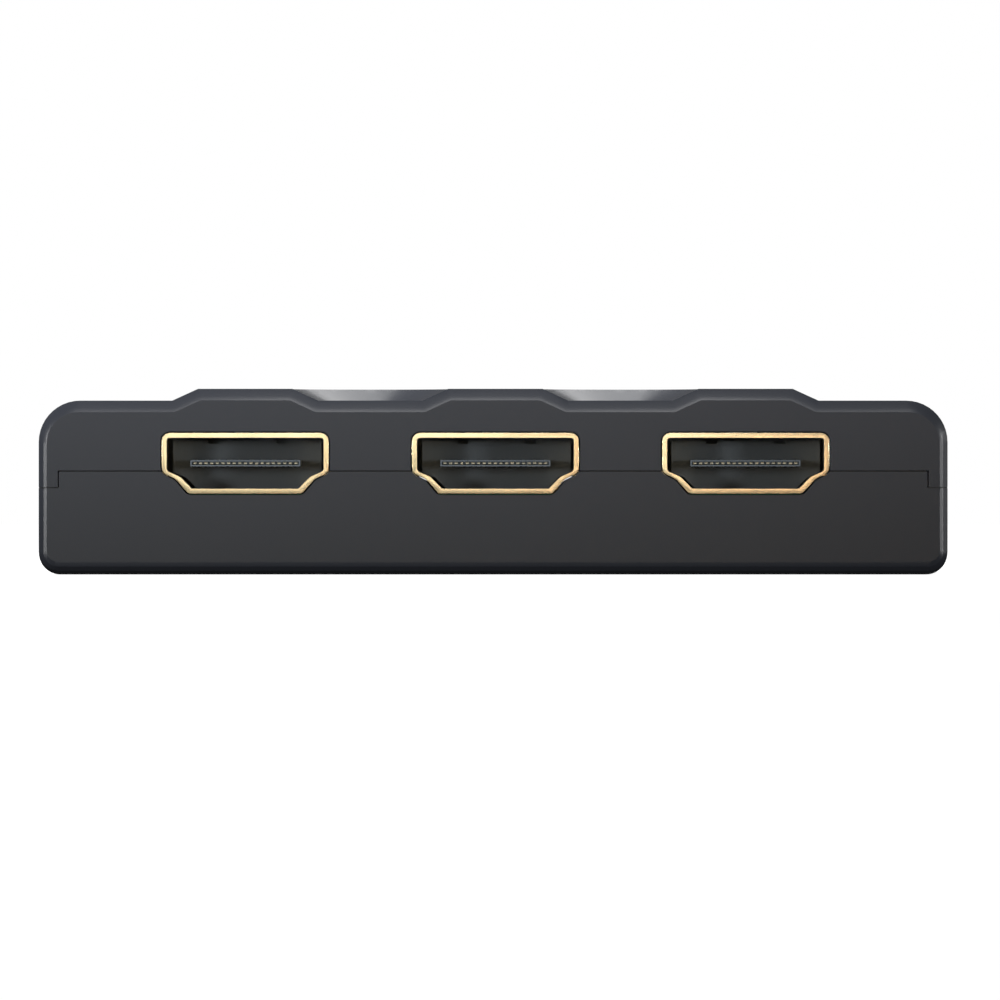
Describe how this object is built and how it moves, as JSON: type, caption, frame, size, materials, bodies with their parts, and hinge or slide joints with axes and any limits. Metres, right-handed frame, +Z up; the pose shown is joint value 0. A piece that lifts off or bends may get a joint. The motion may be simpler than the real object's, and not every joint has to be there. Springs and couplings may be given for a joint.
{
  "type": "hdmi switch box",
  "caption": "Flat charcoal box with HDMI inputs in a row on the front, raised bars over them, an output and power socket behind, and a select button on top.",
  "frame": {"origin": "centre of the underside, on the surface that the box stands on", "axes": "+X along the row of inputs, the inputs open at -Y, +Z up"},
  "size_m": [0.081, 0.054, 0.0166],
  "materials": {
    "charcoal_abs": "fine moulded texture",
    "button_abs": "fine moulded texture",
    "gold_plate": "bright gold plating on folded steel",
    "black_polymer": "moulded glass-filled polymer",
    "contact_gold": "gold-plated copper alloy",
    "bright_steel": "zinc or nickel plated",
    "board_laminate": "solder mask on glass epoxy",
    "chip_epoxy": "moulded epoxy",
    "tinned_copper": "tin plated",
    "capacitor_ceramic": "sintered ceramic",
    "light_diffuser": "clear acrylic"
  },
  "bodies": {
    "housing": {"upper_shell": "charcoal_abs", "lower_shell": "charcoal_abs", "switch_body": "black_polymer", "switch_cover": "bright_steel", "switch_dome": "bright_steel", "switch_terminals": "tinned_copper", "case_screws": "bright_steel", "power_shell": "bright_steel", "power_insulator": "black_polymer", "power_contacts": "contact_gold", "circuit_board": "board_laminate", "video_switch_chip": "chip_epoxy", "video_switch_leads": "tinned_copper", "memory_chip": "chip_epoxy", "voltage_regulator": "chip_epoxy", "clock_crystal": "bright_steel", "surge_arrays": "chip_epoxy", "capacitors": "capacitor_ceramic", "resistors": "chip_epoxy", "status_leds": "light_diffuser", "input_1_shell": "gold_plate", "input_1_insulator": "black_polymer", "input_1_contacts": "contact_gold", "input_2_shell": "gold_plate", "input_2_insulator": "black_polymer", "input_2_contacts": "contact_gold", "input_3_shell": "gold_plate", "input_3_insulator": "black_polymer", "input_3_contacts": "contact_gold", "output_shell": "gold_plate", "output_insulator": "black_polymer", "output_contacts": "contact_gold", "light_pipe_1": "light_diffuser", "light_pipe_2": "light_diffuser", "light_pipe_3": "light_diffuser"},
    "button": {"select_button": "button_abs"},
    "plunger": {"switch_plunger": "black_polymer"}
  },
  "joints": [
    {"name": "select_press", "type": "slide", "parent": "housing", "child": "button", "axis": [0, 0, -1], "range_m": [0, 0.00025], "stiffness_N_per_m": 3000},
    {"name": "plunger_press", "type": "slide", "parent": "housing", "child": "plunger", "axis": [0, 0, -1], "range_m": [0, 0.00025], "deforming": ["switch_dome"]}
  ],
  "couplings": [
    {"joint": "plunger_press", "follows": "select_press", "ratio": 1}
  ]
}
